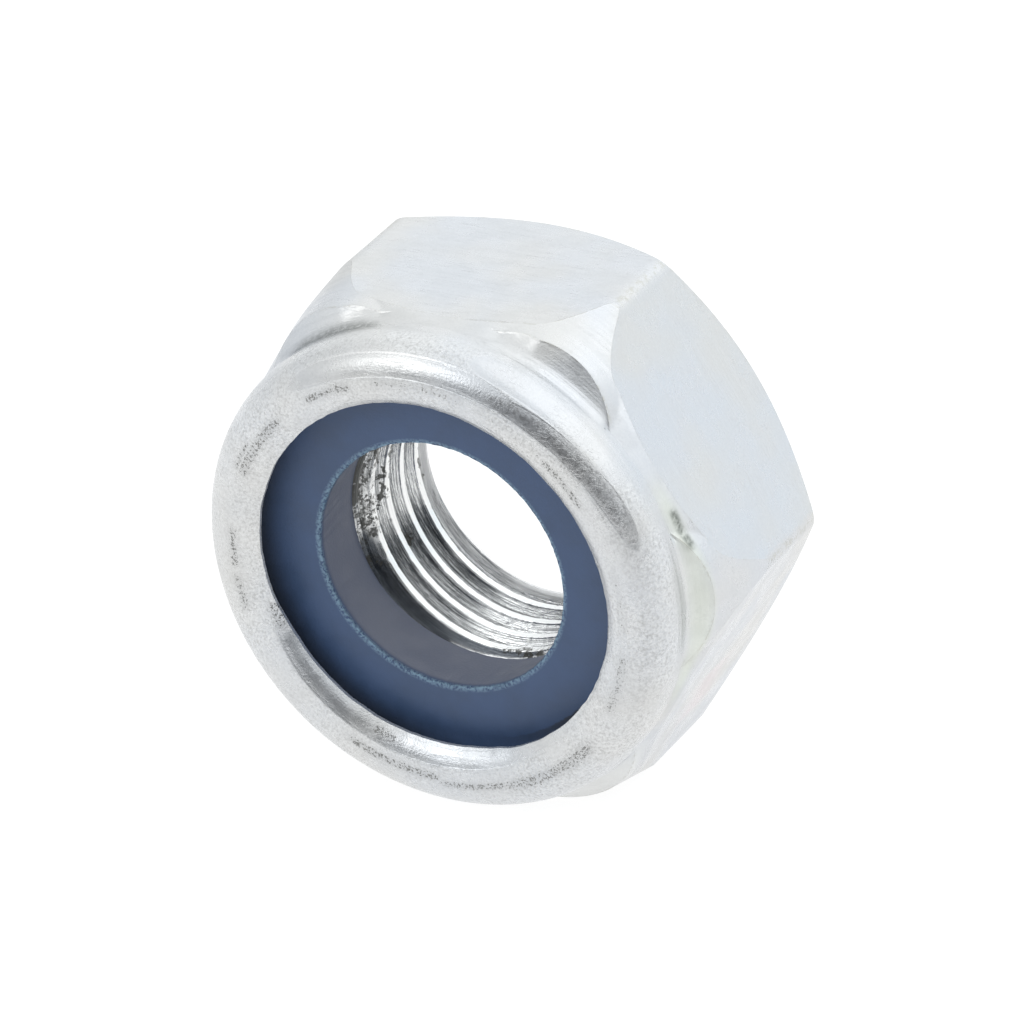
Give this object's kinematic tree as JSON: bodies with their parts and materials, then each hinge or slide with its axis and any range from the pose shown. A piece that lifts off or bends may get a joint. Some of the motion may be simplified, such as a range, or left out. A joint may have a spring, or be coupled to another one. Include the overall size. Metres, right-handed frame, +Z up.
{
  "type": "nylon insert lock nut",
  "caption": "Hexagon lock nut on its side: tapped steel body with drawn-in corners and a rolled collar that grips a blue nylon ring, which stops the nut working loose.",
  "frame": {"origin": "under the middle of the nut, on the surface that its lower flat lies on", "axes": "+Z up; the nut's axis is level and runs along Y, with the nylon end facing -Y and the bearing face facing +Y; +X runs across the corners"},
  "size_m": [0.0194, 0.0098, 0.017],
  "materials": {
    "zinc_plated_steel": "bright zinc plate over forged steel, satin",
    "blue_nylon": "slate blue moulded nylon, matte"
  },
  "bodies": {
    "root": {"nut_body": "zinc_plated_steel", "locking_insert": "blue_nylon"}
  },
  "joints": []
}
